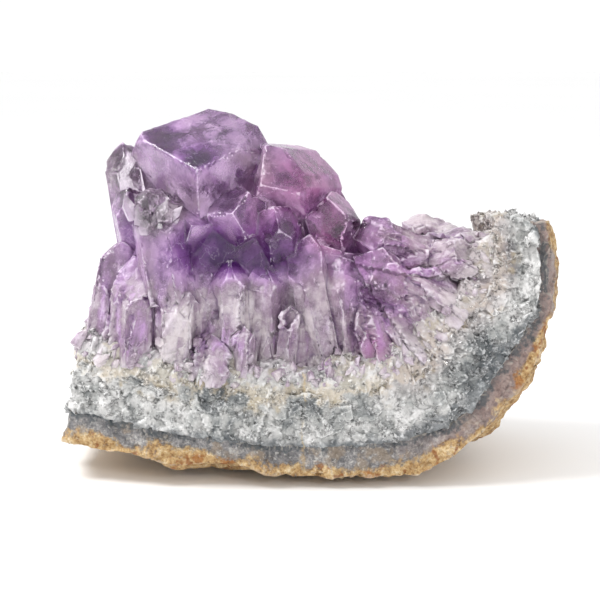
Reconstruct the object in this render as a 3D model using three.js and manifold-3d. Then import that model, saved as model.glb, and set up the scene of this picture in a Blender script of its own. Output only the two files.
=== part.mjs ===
import * as THREE from 'three';
import { mergeVertices } from 'three/addons/utils/BufferGeometryUtils.js';
import Module from 'manifold-3d';

// Amethyst cluster: a broken piece of geode wall lying on its weathered skin.
// Millimetres, +X right along the wall, +Y away from the viewer, +Z up.

const wasm = await Module();
wasm.setup();

// Stations along the wall from the left end to the upper right end, in the plane of the front break.
// foot: line between rind and quartz as x, z. crest: where the crystals end as x, z.
// rind and bed: thickness of the rock and of the grey quartz. front and back: where the wall ends, as y.
const STATIONS = [
  { foot: [-39.4, 10.4], crest: [-30, 44], rind: 5.2, bed: 9, front: -17.5, back: 17.0 },
  { foot: [-27, 8.2], crest: [-23, 50], rind: 4.7, bed: 8.8, front: -20.5, back: 20.5 },
  { foot: [-13, 5.9], crest: [-13, 50], rind: 4.3, bed: 9, front: -21.5, back: 22.0 },
  { foot: [1, 5.1], crest: [-3.5, 47.5], rind: 4.8, bed: 9.2, front: -22, back: 22.5 },
  { foot: [14, 6.1], crest: [2.5, 44.5], rind: 4.9, bed: 10.4, front: -21.5, back: 21.0 },
  { foot: [24.4, 9.4], crest: [5.5, 43], rind: 4.6, bed: 12, front: -20.5, back: 19.0 },
  { foot: [30.8, 17.4], crest: [7.5, 41.8], rind: 4.4, bed: 11.4, front: -19.5, back: 17.5 },
  { foot: [35.6, 24.6], crest: [9, 41.2], rind: 2.3, bed: 9.4, front: -18.5, back: 16.5 },
  { foot: [37.8, 32], crest: [10.5, 41.2], rind: 1.5, bed: 7.8, front: -17.5, back: 15.5 },
  { foot: [35.8, 42], crest: [12, 41.4], rind: 1.5, bed: 7, front: -16.5, back: 14.5 },
];
const WALL_BULGE = 2.8;
const END_DROP = 0.05;
const REST_DEPTH = 0.9;
const REST_PLACE = 0.34;
const SLOPE_STEP = 0.01;

const LAYER_GAP = 0.3;

const COLUMNS_ALONG = 26;
const ROWS_ACROSS = 10;
const CORE_ALONG = 15;
const CORE_ACROSS = 6;

const RIND_LUMP = 1.5;
const RIND_LUMP_SIZE = 7;
const RIND_PIT = 0.7;
const RIND_PIT_SIZE = 3.2;
const FULL_RIND = 4;
const RIND_BREAK_SHARE = 0.6;
const BED_STANDS_OUT = 0.4;
const BREAK_ROUGHNESS = 1.1;
const BREAK_GRAIN = 3.4;
const LAYER_WAVE = 1.3;
const LAYER_WAVE_SIZE = 9;

// Quartz: the pyramid faces lean this far from the crystal's long axis.
const PYRAMID_LEAN = THREE.MathUtils.degToRad(51.8);

// Crystals seen on the front and crown. root and tip are x, y, z; across is the width over the flats;
// spin turns the first main pyramid face, in degrees from straight up; minor is how far the three
// small pyramid faces stand back, as a share of the width. girths scales each side's distance from the
// axis. shaves are extra side faces, each a turn in degrees and a distance from the axis.
const CROWN_CRYSTALS = [
  {
    name: 'crown', root: [-17.6, 3, 46.2], tip: [-17.9, -21.5, 50.3], across: 20.8, spin: 0, minor: 0.3,
    girths: [1.2, 1.1, 1, 1, 1.05, 1.2],
    shaves: [[23, 10.3], [-12, 11.3], [-29, 11.5]],
  },
  {
    name: 'shoulder', root: [0.6, -4.5, 46.2], tip: [-8, -19.8, 47.8], across: 12.4, spin: 78, minor: 0.35,
    girths: [1, 1, 1, 0.85, 0.72, 1.15], shaves: [[-12, 5.9], [-68, 5]],
  },
  { name: 'shoulder_right', root: [4.8, -6, 33], tip: [2.6, -16.5, 45.6], across: 8.4, spin: 60, minor: 0.3 },
  { name: 'under_crown', root: [-10.5, -6, 40], tip: [-12.4, -22.4, 43.6], across: 8.8, spin: 150, minor: 0.4 },
  { name: 'under_left', root: [-19.5, -8, 38], tip: [-19, -20.6, 41.4], across: 8, spin: 100, minor: 0.4 },
  { name: 'grey', root: [-3.9, -10, 28], tip: [-5.9, -20.2, 44.6], across: 7, spin: 20, minor: 0.3 },
  { name: 'left_clear', root: [-28.5, -6, 33], tip: [-31, -9, 54], across: 6.4, spin: 70, minor: 0.2 },
  { name: 'left_low', root: [-27.5, -8, 28], tip: [-29.8, -14, 47], across: 6, spin: 10, minor: 0.3 },
  { name: 'chip_high', root: [-24, -16, 44.6], tip: [-27, -22.6, 45.4], across: 3.8, spin: 30, minor: 0.2 },
  { name: 'chip_low', root: [-22, -15, 44], tip: [-24, -22.8, 42.4], across: 3.6, spin: 80, minor: 0.2 },
  { name: 'behind_crown', root: [-9, 2, 38], tip: [-8.2, -5, 53.6], across: 9, spin: 60, minor: 0.3 },
  { name: 'back_left', root: [-24, 6, 34], tip: [-25.5, 4, 52], across: 9.5, spin: 35, minor: 0.3 },
  { name: 'back_high', root: [-14.5, 9, 34], tip: [-14, 7, 54.6], across: 10.5, spin: 5, minor: 0.35 },
  { name: 'back_low', root: [-18.5, 11, 30], tip: [-20.5, 14.5, 48.5], across: 9, spin: 50, minor: 0.3 },
  { name: 'behind_shoulder', root: [2.4, 2, 32], tip: [1.6, -6, 47], across: 8, spin: 15, minor: 0.3 },
];
// Columns broken open along the front, left to right, then the ones that lean in from the right.
const FRONT_COLUMNS = [
  { name: 'left_edge', root: [-35, -14, 18], tip: [-30.8, -14.6, 38.5], across: 6, spin: 35, minor: 0.3 },
  { name: 'lilac', root: [-29.2, -16.8, 17], tip: [-28, -18.6, 37.5], across: 7, spin: 15, minor: 0.4 },
  { name: 'tongue', root: [-22.8, -18, 28.6], tip: [-25, -18.8, 46.5], across: 7.8, spin: 50, minor: 0.3 },
  { name: 'pale_left', root: [-21.6, -17.6, 15], tip: [-21.6, -19.4, 32.4], across: 7, spin: 0, minor: 0.2 },
  { name: 'deep_left', root: [-16.4, -15.5, 15], tip: [-16.6, -16.6, 38.5], across: 7.4, spin: 30, minor: 0.3 },
  { name: 'gable', root: [-15.6, -19.2, 14], tip: [-16.3, -21.6, 24.6], across: 5.8, spin: 90, minor: 0.1 },
  { name: 'pale_middle', root: [-11.8, -16.8, 15], tip: [-13, -18.6, 36], across: 6.2, spin: 60, minor: 0.3 },
  { name: 'chip_middle', root: [-10.9, -19.6, 14], tip: [-10.7, -21.4, 25.6], across: 3.6, spin: 0, minor: 0.2 },
  { name: 'violet_middle', root: [-6.9, -15.8, 14], tip: [-8, -17, 36.4], across: 7.4, spin: 45, minor: 0.3 },
  { name: 'spike', root: [-4.1, -18.4, 15], tip: [-3.1, -21.2, 29], across: 3.2, spin: 20, minor: 0.1 },
  { name: 'recess_right', root: [-1.2, -16, 14], tip: [-2.2, -17.2, 35.4], across: 6.6, spin: 10, minor: 0.3 },
  { name: 'long_pale', root: [3.8, -17.2, 14], tip: [-2, -20.2, 40.6], across: 5.8, spin: 75, minor: 0.3 },
  { name: 'beside_long', root: [8.2, -16.4, 14], tip: [3.4, -18.4, 36.8], across: 7, spin: 25, minor: 0.3 },
  { name: 'pink_low', root: [13.6, -17, 14.6], tip: [7.2, -19.6, 29.6], across: 6.8, spin: 60, minor: 0.3 },
  { name: 'right_low', root: [18.6, -16, 18], tip: [12, -19, 29], across: 7, spin: 10, minor: 0.3 },
  { name: 'right_facet', root: [19.5, -14.5, 25.5], tip: [6.8, -18.6, 36.2], across: 8.4, spin: 40, minor: 0.4 },
  { name: 'right_mid', root: [24.5, -15, 26.5], tip: [15, -18.4, 34], across: 6.6, spin: 20, minor: 0.2 },
  { name: 'right_high', root: [20.5, -13, 34.6], tip: [6.6, -16, 40.4], across: 6.2, spin: 80, minor: 0.3 },
  { name: 'right_far', root: [28.5, -13, 32], tip: [19, -16.8, 38.2], across: 6.4, spin: 0, minor: 0.3 },
  { name: 'right_small', root: [21.5, -16.5, 21.5], tip: [17.4, -18.6, 27.2], across: 5.2, spin: 55, minor: 0.2 },
];
const NAMED_UNEVEN = 0.05;
const GROWN_UNEVEN = 0.14;
const EVEN_GIRTHS = [1, 1, 1, 1, 1, 1];

// Each pair below that is called a range is a least value and how much a random share adds to it.
const MINOR_RANGE = [0.7, 0.6];
// Breaks across a column: how far they tilt and swing, where along it they are, and how deep.
const BREAK_TILT = 0.6;
const BREAK_SWING = 0.5;
const BREAK_PLACE_RANGE = [0.5, 0.4];
const BREAK_REACH_RANGE = [0.32, 0.12];

// Crystals without a name: how far they lean, turn, and set their minor faces back.
const GROWN_LEAN = 0.14;
const GROWN_SPIN = 120;
const GROWN_MINOR_RANGE = [0.15, 0.3];

// Points over the cavity side, in rows from front to back. They start at a share of the wall's
// length, get closer and smaller towards its far end, and stop short of the crest.
const CREST_STEPS = 8;
const CREST_ROWS = [0.32, 0.51, 0.7, 0.9];
const CREST_START = 0.07;
const CREST_SPAN = 0.5;
const CREST_CROWDING = 1.4;
const CREST_SHIFT = 0.06;
const CREST_SHORT = 2.5;
const CREST_BACK_DROP = 4.5;
const CREST_RANDOM_DROP = 4;
const CREST_WIDTH_RANGE = [11, 1.5];
const CREST_WIDTH_LOSS = 6;
const CREST_LENGTH = 1.3;

// Columns along the broken sides that the front doesn't show.
const SIDE_STEP_RANGE = [0.3, 0.4];
const SIDE_SUNK = 1;
const SIDE_DROP = 6;
const SIDE_WIDTH_RANGE = [0.85, 0.3];
const SIDE_THINNING = 0.4;
const BACK_COLUMNS = { count: 9, place: (k) => [0.95 * k, 0.94], width: 9.5, inset: 5 };
const LEFT_COLUMNS = { count: 4, place: (k) => [0.07, k], width: 7.5, inset: 6 };
const RIGHT_COLUMNS = { count: 4, place: (k) => [0.9, k], width: 8, inset: 6 };

// Short points along the ledge where the quartz bed meets the columns.
const LEDGE_COUNT = 12;
const LEDGE_START = 0.06;
const LEDGE_SPAN = 0.76;
const LEDGE_FRONT_RANGE = [0.02, 0.02];
const LEDGE_LENGTH_RANGE = [3.2, 3.4];
const LEDGE_WIDTH_RANGE = [2.4, 1.8];
const LEDGE_SUNK = 2;

// The solid middle that the crystals stand on: it starts in the bed and stops below the crest.
const CORE_SUNK = 2;
const CORE_SHORT = 7;
const CORE_BACK_DROP = 4;
const CORE_INSET = 3.6;
const CUT_MARGIN = 2;

const SEED = 7;
const TOUCHING = 1e-6;
const PARALLEL = 1e-4;
const MERGE = 1e-4;

// Repeatable random numbers between 0 and 1.
function makeRandom(seed) {
  let state = seed;
  return () => {
    state = (state * 1664525 + 1013904223) % 4294967296;
    return state / 4294967296;
  };
}

// A random value from a least value and what is added to it at most.
function within([least, more], random) {
  return least + more * random();
}

// A repeatable number from -1 to 1 for each whole-number corner of space.
function cornerValue(x, y, z) {
  const wave = Math.sin(x * 127.1 + y * 311.7 + z * 74.7) * 43758.5453;
  return (wave - Math.floor(wave)) * 2 - 1;
}

// Smooth lumps from -1 to 1: corner values blended across cells of the given size.
function lumps(point, size) {
  const x = point.x / size;
  const y = point.y / size;
  const z = point.z / size;
  const cell = [Math.floor(x), Math.floor(y), Math.floor(z)];
  const share = [x - cell[0], y - cell[1], z - cell[2]].map((f) => f * f * (3 - 2 * f));
  let total = 0;
  for (let corner = 0; corner < 8; corner += 1) {
    const step = [corner & 1, (corner >> 1) & 1, (corner >> 2) & 1];
    const weight = step.reduce((w, s, axis) => w * (s ? share[axis] : 1 - share[axis]), 1);
    total += weight * cornerValue(cell[0] + step[0], cell[1] + step[1], cell[2] + step[2]);
  }
  return total;
}

const footCurve = new THREE.CatmullRomCurve3(
  STATIONS.map((s) => new THREE.Vector3(s.foot[0], s.rind, s.foot[1])), false, 'centripetal');
const crestCurve = new THREE.CatmullRomCurve3(
  STATIONS.map((s) => new THREE.Vector3(s.crest[0], s.bed, s.crest[1])), false, 'centripetal');
const breakCurve = new THREE.CatmullRomCurve3(
  STATIONS.map((s, i) => new THREE.Vector3(i, s.front, s.back)), false, 'centripetal');

// A point of a station curve, going straight on past its ends.
function along(curve, u) {
  const inside = THREE.MathUtils.clamp(u, 0, 1);
  const point = curve.getPoint(inside);
  if (u !== inside) {
    const step = 2 * SLOPE_STEP;
    const near = curve.getPoint(inside === 0 ? step : 1 - step);
    const slope = point.clone().sub(near).divideScalar(inside === 0 ? -step : step);
    point.addScaledVector(slope, u - inside);
  }
  return point;
}

// The wall at u: its foot, its growth direction, the distance to the crest and the two breaks.
function wallAt(u) {
  const foot = along(footCurve, u);
  const crest = along(crestCurve, u);
  const breaks = along(breakCurve, u);
  const grow = new THREE.Vector2(crest.x - foot.x, crest.z - foot.z);
  const height = grow.length();
  grow.divideScalar(height);
  return { foot, grow, height, rind: foot.y, bed: crest.y, front: breaks.y, back: breaks.z };
}

// A point of the wall: u along it, v from front to back, t through it from the foot inwards.
function wallPoint(u, v, t) {
  const wall = wallAt(u * (1 - END_DROP * v));
  const bulge = WALL_BULGE * (1 - (2 * v - 1) ** 2);
  const reach = t - bulge;
  return new THREE.Vector3(
    wall.foot.x + wall.grow.x * reach,
    wall.front + (wall.back - wall.front) * v,
    wall.foot.z + wall.grow.y * reach);
}

// Where the quartz bed ends and the amethyst begins, as a distance through the wall.
function bedTop(u, v) {
  const { bed } = wallAt(u);
  return bed + LAYER_WAVE * lumps(wallPoint(u, v, bed), LAYER_WAVE_SIZE);
}

// A closed block of the wall between two depths, as a grid with a ring of side faces.
// edge(u, v, t) gives how far the side stands out there, in mm.
function wallBlock(spec) {
  const { low, high, levels, along: nu, across: nv, edge, finish = (p) => p, range = [0, 1, 0, 1] } = spec;
  const [uStart, uEnd, vStart, vEnd] = range;
  const positions = [];
  const faces = [];
  const ring = [];
  for (let i = 0; i < nu; i += 1) ring.push([i, 0]);
  for (let j = 0; j < nv; j += 1) ring.push([nu, j]);
  for (let i = nu; i > 0; i -= 1) ring.push([i, nv]);
  for (let j = nv; j > 0; j -= 1) ring.push([0, j]);

  const place = (i, j, level) => {
    const u = uStart + ((uEnd - uStart) * i) / nu;
    const v = vStart + ((vEnd - vStart) * j) / nv;
    const t = THREE.MathUtils.lerp(low(u, v), high(u, v), level / levels);
    const wall = wallAt(u);
    const out = edge(u, v, t);
    const sideU = i === 0 ? -1 : Number(i === nu);
    const sideV = j === 0 ? -1 : Number(j === nv);
    const point = wallPoint(u, v + (sideV * out) / (wall.back - wall.front), t);
    const ahead = wallPoint(u + SLOPE_STEP, v, t).sub(wallPoint(u - SLOPE_STEP, v, t)).normalize();
    point.addScaledVector(ahead, sideU * out);
    const finished = finish(point, u, v, t, level);
    positions.push(finished.x, finished.y, finished.z);
    return positions.length / 3 - 1;
  };

  const bottom = new Map();
  const top = new Map();
  for (let i = 0; i <= nu; i += 1) {
    for (let j = 0; j <= nv; j += 1) {
      bottom.set(`${i},${j}`, place(i, j, 0));
      top.set(`${i},${j}`, place(i, j, levels));
    }
  }
  for (let i = 0; i < nu; i += 1) {
    for (let j = 0; j < nv; j += 1) {
      const corners = [[i, j], [i + 1, j], [i + 1, j + 1], [i, j + 1]].map((c) => c.join());
      const [a, b, c, d] = corners.map((key) => top.get(key));
      const [e, f, g, h] = corners.map((key) => bottom.get(key));
      if ((i + j) % 2) faces.push(a, b, c, a, c, d, e, g, f, e, h, g);
      else faces.push(a, b, d, b, c, d, e, h, f, f, h, g);
    }
  }
  const rows = [ring.map((c) => bottom.get(c.join()))];
  for (let level = 1; level < levels; level += 1) rows.push(ring.map(([i, j]) => place(i, j, level)));
  rows.push(ring.map((c) => top.get(c.join())));
  for (let level = 0; level < levels; level += 1) {
    ring.forEach((_, k) => {
      const next = (k + 1) % ring.length;
      const [a, b] = [rows[level][k], rows[level][next]];
      const [c, d] = [rows[level + 1][next], rows[level + 1][k]];
      if ((k + level) % 2) faces.push(a, b, c, a, c, d);
      else faces.push(a, b, d, b, c, d);
    });
  }
  return meshFrom(positions, faces);
}

function meshFrom(positions, faces) {
  const geometry = new THREE.BufferGeometry();
  geometry.setAttribute('position', new THREE.Float32BufferAttribute(positions, 3));
  geometry.setIndex(faces);
  return geometry;
}

// The closed solid inside a set of planes { normal, reach }: corners where three planes meet,
// each face a fan of its own corners in order.
function solidInside(planes) {
  const corners = [];
  const meeting = new THREE.Vector3();
  const matrix = new THREE.Matrix3();
  for (let i = 0; i < planes.length; i += 1) {
    for (let j = i + 1; j < planes.length; j += 1) {
      for (let k = j + 1; k < planes.length; k += 1) {
        const rows = [planes[i], planes[j], planes[k]];
        matrix.set(...rows.flatMap((p) => p.normal.toArray()));
        if (Math.abs(matrix.determinant()) < PARALLEL) continue;
        meeting.set(...rows.map((p) => p.reach)).applyMatrix3(matrix.invert());
        const inside = planes.every((p) => p.normal.dot(meeting) < p.reach + TOUCHING);
        const known = corners.some((c) => c.distanceTo(meeting) < TOUCHING * 10);
        if (inside && !known) corners.push(meeting.clone());
      }
    }
  }
  const faces = [];
  planes.forEach((plane) => {
    const own = corners.map((c, index) => ({ c, index }))
      .filter(({ c }) => Math.abs(plane.normal.dot(c) - plane.reach) < TOUCHING * 10);
    if (own.length < 3) return;
    const middle = own.reduce((sum, { c }) => sum.add(c), new THREE.Vector3()).divideScalar(own.length);
    const sideways = own[0].c.clone().sub(middle).normalize();
    const across = plane.normal.clone().cross(sideways);
    const turn = ({ c }) => {
      const arm = c.clone().sub(middle);
      return Math.atan2(arm.dot(across), arm.dot(sideways));
    };
    own.sort((a, b) => turn(a) - turn(b));
    for (let k = 1; k + 1 < own.length; k += 1) faces.push(own[0].index, own[k].index, own[k + 1].index);
  });
  return meshFrom(corners.flatMap((c) => c.toArray()), faces);
}

// One quartz crystal: six uneven prism faces, three main and three minor pyramid faces, a flat root,
// and where it is broken, a few flat breaks that face the front.
function crystal(spec, random) {
  const { root, tip, across, spin, minor, breaks = 0, shaves = [] } = spec;
  const { uneven = GROWN_UNEVEN, girths = EVEN_GIRTHS } = spec;
  const start = new THREE.Vector3(...root);
  const end = new THREE.Vector3(...tip);
  const axis = end.clone().sub(start).normalize();
  const up = Math.abs(axis.z) > 0.95 ? new THREE.Vector3(0, -1, 0) : new THREE.Vector3(0, 0, 1);
  const first = up.addScaledVector(axis, -up.dot(axis)).normalize();
  const second = axis.clone().cross(first);
  const planes = [{ normal: axis.clone().negate(), reach: -axis.dot(start) }];
  for (let side = 0; side < 6; side += 1) {
    const angle = THREE.MathUtils.degToRad(spin + side * 60);
    const out = first.clone().multiplyScalar(Math.cos(angle)).addScaledVector(second, Math.sin(angle));
    const girth = (across / 2) * girths[side] * (1 + uneven * (2 * random() - 1));
    planes.push({ normal: out, reach: out.dot(start) + girth });
    const setBack = side % 2 ? minor * across * within(MINOR_RANGE, random) : 0;
    const normal = out.clone().multiplyScalar(Math.sin(PYRAMID_LEAN))
      .addScaledVector(axis, Math.cos(PYRAMID_LEAN));
    planes.push({ normal, reach: normal.dot(end) + setBack * Math.cos(PYRAMID_LEAN) });
  }
  for (let side = 0; side < breaks; side += 1) {
    const normal = axis.clone().multiplyScalar(BREAK_TILT * random())
      .add(new THREE.Vector3(2 * BREAK_SWING * (random() - 0.5), -1, BREAK_SWING * random())).normalize();
    const middle = start.clone().lerp(end, within(BREAK_PLACE_RANGE, random));
    planes.push({ normal, reach: normal.dot(middle) + across * within(BREAK_REACH_RANGE, random) });
  }
  shaves.forEach(([turn, reach]) => {
    const angle = THREE.MathUtils.degToRad(turn);
    const out = first.clone().multiplyScalar(Math.cos(angle)).addScaledVector(second, Math.sin(angle));
    planes.push({ normal: out, reach: out.dot(start) + reach });
  });
  return solidInside(planes);
}

// A crystal that grows from the wall at u, v: its root at depth from, its tip at depth to.
function grownCrystal(u, v, from, to, across, random, breaks = 0) {
  const root = wallPoint(u, v, from);
  const tip = wallPoint(u, v, to);
  const lean = GROWN_LEAN * (to - from);
  tip.x += lean * (random() - 0.5);
  tip.y += lean * (random() - 0.5);
  return crystal({
    root: root.toArray(),
    tip: tip.toArray(),
    across,
    spin: GROWN_SPIN * random(),
    minor: within(GROWN_MINOR_RANGE, random),
    breaks,
  }, random);
}

// Points over the cavity side: large behind the crown, small to the right.
function crestCrystals(random) {
  const list = [];
  for (let i = 0; i < CREST_STEPS; i += 1) {
    CREST_ROWS.forEach((row) => {
      const share = ((i + 0.5 * random()) / (CREST_STEPS - 1)) ** CREST_CROWDING;
      const u = CREST_START + CREST_SPAN * share;
      const v = row + CREST_SHIFT * (random() - 0.5);
      const drop = CREST_SHORT + CREST_BACK_DROP * v + CREST_RANDOM_DROP * random() * (1 - u);
      const tip = wallAt(u).height - drop;
      const across = within(CREST_WIDTH_RANGE, random) - CREST_WIDTH_LOSS * u;
      list.push(grownCrystal(u, v, tip - across * CREST_LENGTH, tip, across, random));
    });
  }
  return list;
}

// Columns side by side along one broken side of the wall. place(k) gives u and v of each.
function sideColumns({ count, place, width, inset }, random) {
  const list = [];
  for (let k = 0; k < count; k += 1) {
    const [u, v] = place((k + within(SIDE_STEP_RANGE, random)) / count);
    const wall = wallAt(u);
    const top = wall.height - inset - SIDE_DROP * random();
    const across = width * (1 - SIDE_THINNING * u) * within(SIDE_WIDTH_RANGE, random);
    list.push(grownCrystal(u, v, wall.bed - SIDE_SUNK, top, across, random));
  }
  return list;
}

function ledgePoints(random) {
  const list = [];
  for (let k = 0; k < LEDGE_COUNT; k += 1) {
    const u = LEDGE_START + (LEDGE_SPAN * (k + random())) / LEDGE_COUNT;
    const length = within(LEDGE_LENGTH_RANGE, random) + LEDGE_SUNK;
    const from = wallAt(u).bed - LEDGE_SUNK;
    const v = within(LEDGE_FRONT_RANGE, random);
    list.push(grownCrystal(u, v, from, from + length, within(LEDGE_WIDTH_RANGE, random), random));
  }
  return list;
}

function toSolid(geometry) {
  const merged = mergeVertices(geometry, MERGE);
  return new wasm.Manifold(new wasm.Mesh({
    numProp: 3,
    vertProperties: new Float32Array(merged.attributes.position.array),
    triVerts: new Uint32Array(merged.index.array),
  }));
}

// The outer skin of a joined solid: triangles that share corners form a skin, and the one with the
// most triangles is kept, so the small gaps closed in between crystals are filled.
function outerSkin(solid) {
  const { vertProperties, triVerts } = solid.getMesh();
  const leader = Array.from({ length: vertProperties.length / 3 }, (_, k) => k);
  const find = (k) => {
    while (leader[k] !== k) k = leader[k] = leader[leader[k]];
    return k;
  };
  for (let k = 0; k < triVerts.length; k += 3) {
    leader[find(triVerts[k])] = find(triVerts[k + 1]);
    leader[find(triVerts[k + 1])] = find(triVerts[k + 2]);
  }
  const sizes = new Map();
  triVerts.forEach((k) => sizes.set(find(k), (sizes.get(find(k)) ?? 0) + 1));
  const largest = [...sizes].reduce((best, entry) => (entry[1] > best[1] ? entry : best))[0];
  const faces = Array.from(triVerts).filter((k) => find(k) === largest);
  return meshFrom(Array.from(vertProperties), faces);
}

// Weathered rock skin: lumpy and pitted underneath, with the flat patch that it rests on.
function rindGeometry() {
  const restHeight = wallPoint(REST_PLACE, 0.5, -wallAt(REST_PLACE).rind).z + REST_DEPTH;
  return wallBlock({
    low: (u, v) => {
      const skin = wallPoint(u, v, 0);
      return -wallAt(u).rind
        + RIND_LUMP * lumps(skin, RIND_LUMP_SIZE) * Math.min(1, wallAt(u).rind / FULL_RIND)
        + RIND_PIT * lumps(skin, RIND_PIT_SIZE);
    },
    high: () => 0,
    levels: 2,
    along: COLUMNS_ALONG,
    across: ROWS_ACROSS,
    edge: (u, v, t) => BREAK_ROUGHNESS * RIND_BREAK_SHARE * lumps(wallPoint(u, v, t), BREAK_GRAIN),
    finish: (point) => {
      point.z = Math.max(point.z, restHeight);
      return point;
    },
  });
}

// Sugary grey quartz between the rind and the columns, with a rough break all round.
function quartzGeometry() {
  return wallBlock({
    low: () => LAYER_GAP,
    high: bedTop,
    levels: 4,
    along: COLUMNS_ALONG,
    across: ROWS_ACROSS,
    edge: (u, v, t) => BREAK_ROUGHNESS * (BED_STANDS_OUT + lumps(wallPoint(u, v, t), BREAK_GRAIN)),
  });
}

// All crystals that grew together, joined, and cut off where they meet the quartz bed.
function amethystGeometry() {
  const random = makeRandom(SEED);
  const core = wallBlock({
    low: (u) => wallAt(u).bed - CORE_SUNK,
    high: (u, v) => wallAt(u).height - CORE_SHORT - CORE_BACK_DROP * v,
    levels: 3,
    along: CORE_ALONG,
    across: CORE_ACROSS,
    edge: () => -CORE_INSET,
  });
  const below = wallBlock({
    low: () => -CUT_MARGIN,
    high: (u, v) => bedTop(u, v) + LAYER_GAP,
    levels: 1,
    along: COLUMNS_ALONG + 2 * CUT_MARGIN,
    across: ROWS_ACROSS + 2 * CUT_MARGIN,
    edge: () => 0,
    range: [
      -CUT_MARGIN / COLUMNS_ALONG, 1 + CUT_MARGIN / COLUMNS_ALONG,
      -CUT_MARGIN / ROWS_ACROSS, 1 + CUT_MARGIN / ROWS_ACROSS,
    ],
  });
  const pieces = [
    core,
    ...CROWN_CRYSTALS.map((spec) => crystal({ ...spec, uneven: NAMED_UNEVEN }, random)),
    ...FRONT_COLUMNS.map((spec) => crystal({ ...spec, breaks: 1, uneven: NAMED_UNEVEN }, random)),
    ...crestCrystals(random),
    ...sideColumns(BACK_COLUMNS, random),
    ...sideColumns(LEFT_COLUMNS, random),
    ...sideColumns(RIGHT_COLUMNS, random),
    ...ledgePoints(random),
  ];
  return outerSkin(wasm.Manifold.union(pieces.map(toSolid)).subtract(toSolid(below)));
}

function part(name, geometry, colour, roughness) {
  const material = new THREE.MeshStandardMaterial({ color: colour, roughness, metalness: 0 });
  const mesh = new THREE.Mesh(geometry, material);
  mesh.name = name;
  return mesh;
}

const cluster = new THREE.Group();
cluster.add(part('rind', rindGeometry(), 0xb08a5c, 0.9));
cluster.add(part('quartz_bed', quartzGeometry(), 0xa9abab, 0.6));
cluster.add(part('amethyst_crystals', amethystGeometry(), 0x8a68a8, 0.15));

// Stand it on z = 0 with its box centred on the origin.
const box = new THREE.Box3().setFromObject(cluster);
const centre = box.getCenter(new THREE.Vector3());
cluster.position.set(-centre.x, -centre.y, -box.min.z);

export default cluster;
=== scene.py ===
import bmesh
import bpy
import numpy as np
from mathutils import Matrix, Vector


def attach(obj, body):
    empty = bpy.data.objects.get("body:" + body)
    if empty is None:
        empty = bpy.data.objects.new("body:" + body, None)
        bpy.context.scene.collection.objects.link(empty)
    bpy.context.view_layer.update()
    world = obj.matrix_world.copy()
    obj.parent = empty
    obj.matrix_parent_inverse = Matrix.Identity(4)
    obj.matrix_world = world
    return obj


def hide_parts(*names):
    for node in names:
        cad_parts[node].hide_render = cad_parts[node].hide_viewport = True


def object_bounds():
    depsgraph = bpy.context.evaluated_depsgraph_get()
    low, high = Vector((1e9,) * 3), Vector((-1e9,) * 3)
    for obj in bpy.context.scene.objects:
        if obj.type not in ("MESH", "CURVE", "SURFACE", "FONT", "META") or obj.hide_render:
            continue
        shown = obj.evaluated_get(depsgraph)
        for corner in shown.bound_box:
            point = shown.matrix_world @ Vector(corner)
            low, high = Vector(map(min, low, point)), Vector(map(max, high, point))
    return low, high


bl_info = {
    "name": "Amethyst Cluster",
    "version": (1, 0, 0),
    "blender": (4, 5, 0),
    "location": "View3D > Sidebar > Amethyst",
    "description": "Finishes a broken piece of geode wall: rock skin, sugary quartz and amethyst crystals",
    "category": "Add Mesh",
}

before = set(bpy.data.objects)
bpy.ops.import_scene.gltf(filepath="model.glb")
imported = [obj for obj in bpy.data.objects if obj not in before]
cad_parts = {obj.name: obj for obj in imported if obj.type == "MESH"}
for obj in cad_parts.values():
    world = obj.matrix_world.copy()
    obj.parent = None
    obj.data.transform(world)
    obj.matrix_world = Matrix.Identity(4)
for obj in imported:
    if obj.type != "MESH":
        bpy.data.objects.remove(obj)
CAD_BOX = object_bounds()

MM = 0.001
BODY = "root"

# Stations along the wall, left to right, in mm: x and z of the line between rock and quartz, the
# thickness there of the rock below it and of the grey quartz above it, and y of front and back.
WALL = np.array([
    (-39.4, 12.0, 5.2, 9.0, -18.2, 16.3),
    (-27.0, 9.8, 4.7, 8.8, -21.2, 19.8),
    (-13.0, 7.5, 4.3, 9.0, -22.2, 21.3),
    (1.0, 6.7, 4.8, 9.2, -22.7, 21.8),
    (14.0, 7.7, 4.9, 10.4, -22.2, 20.3),
    (24.4, 11.0, 4.6, 12.0, -21.2, 18.3),
    (30.8, 19.0, 4.4, 11.4, -20.2, 16.8),
    (35.6, 26.2, 2.3, 9.4, -19.2, 15.8),
    (37.8, 33.6, 1.5, 7.8, -18.2, 14.8),
    (35.8, 43.6, 1.5, 7.0, -17.2, 13.8),
])
WALL_SAMPLES = 240
WALL_BULGE = 2.8
FRONT_Y = -22.0
BACK_Y = 21.0

# The camera stands this far off, in mm, at the photograph's height angle. Its lens is given in
# pixels of a 600 x 600 picture.
IMAGE_SIDE = 600
SENSOR = 36.0
CAMERA_DISTANCE = 250.0
CAMERA_FOCAL_PIXELS = 1431.0
CAMERA_TARGET = (-1.75, -0.7, 27.4)

QUARTZ_IOR = 1.544
SHARP_ANGLE = 32.0
UNSEEN_EDGE = 2.5
MOST_HALVINGS = 8
NEAREST_BLOCK = 20000
GROWTH_CENTRE = np.array([6.0, 0.0, 52.0])

# The stained crack's place, and the width of the dark band in the grey quartz, with what is added
# to it at the right bend, in mm.
CRACK_X = -1.3
BAND_WIDTH = 1.0
BAND_WIDENING = 2.1

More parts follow.
